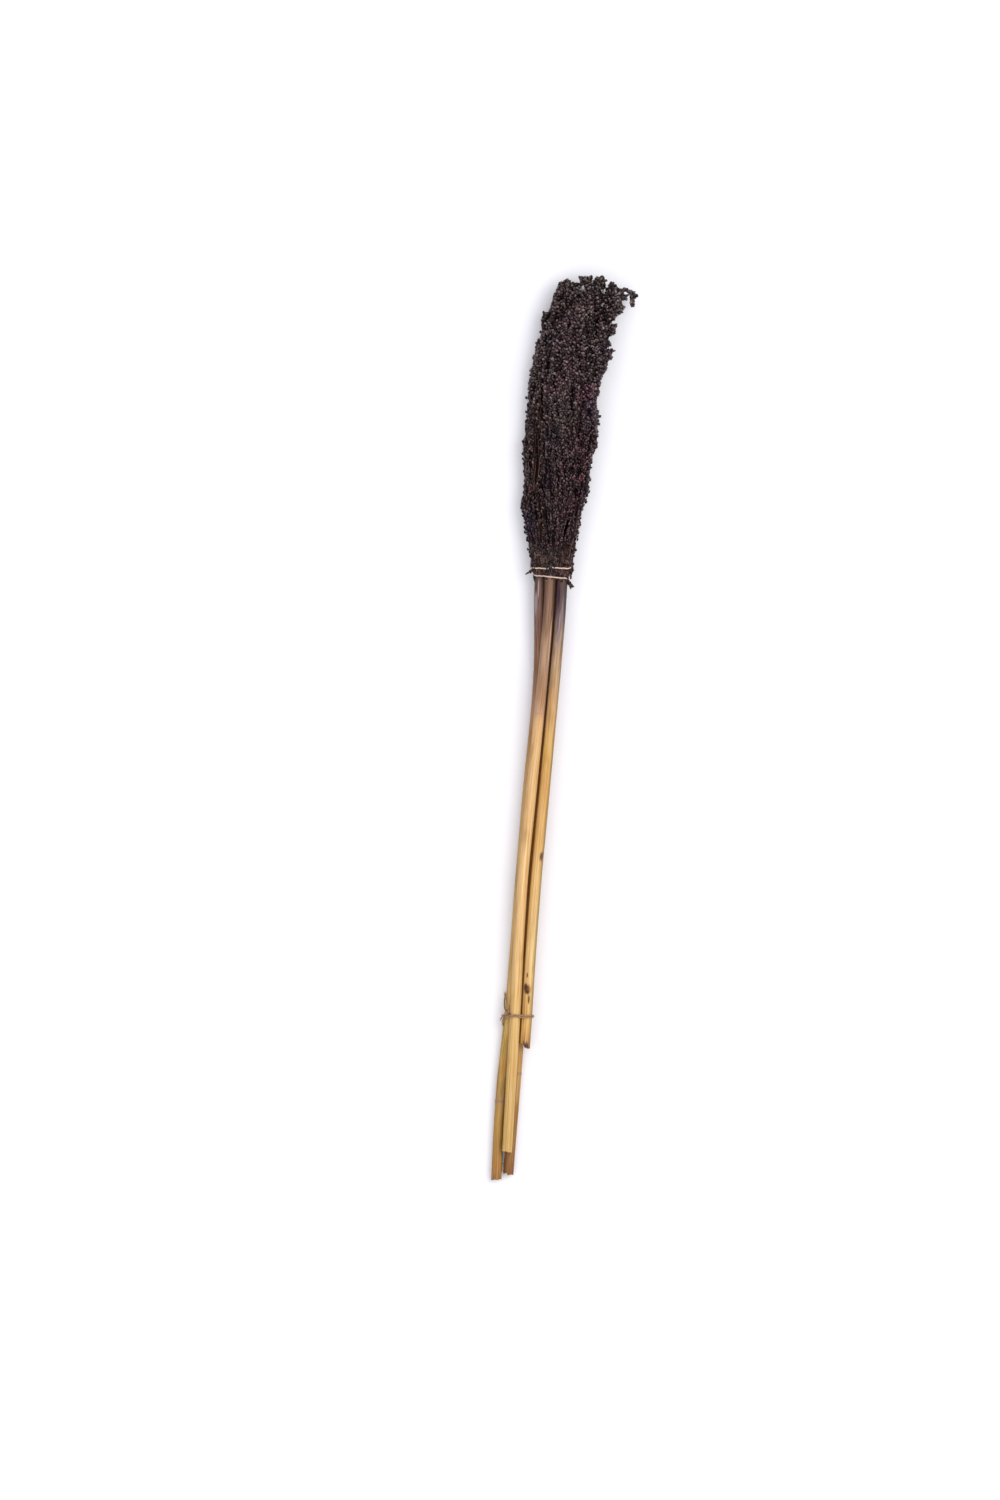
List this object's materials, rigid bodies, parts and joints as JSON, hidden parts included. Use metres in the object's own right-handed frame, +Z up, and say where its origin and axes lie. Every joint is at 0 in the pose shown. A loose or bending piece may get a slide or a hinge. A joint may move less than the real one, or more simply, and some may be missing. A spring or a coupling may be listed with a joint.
{
  "type": "dried cantal grass bundle",
  "caption": "Tied bundle of dry straw-coloured canes with dense dark dyed seed heads pressed into one club, lying on its side.",
  "frame": {"origin": "on the surface that the bundle lies on, under the lowest head, in the middle of the flat spot it is pressed to", "axes": "+Y along the bundle from the cut ends to the tips, +Z up, +X to the right seen from above with the tips away"},
  "size_m": [0.0812, 0.7288, 0.0435],
  "materials": {
    "straw": "dry cane, faintly ribbed and satin",
    "dyed_seed": "matt dyed seed husks",
    "pale_twine": "thin twisted cotton twine",
    "brown_twine": "thin twisted jute twine, frayed"
  },
  "bodies": {
    "root": {"cane_left": "straw", "cane_top": "straw", "cane_under": "straw", "cane_right": "straw", "head_left": "dyed_seed", "head_top": "dyed_seed", "head_under": "dyed_seed", "head_right": "dyed_seed", "tie_neck": "pale_twine", "tie_foot": "brown_twine"}
  },
  "joints": []
}
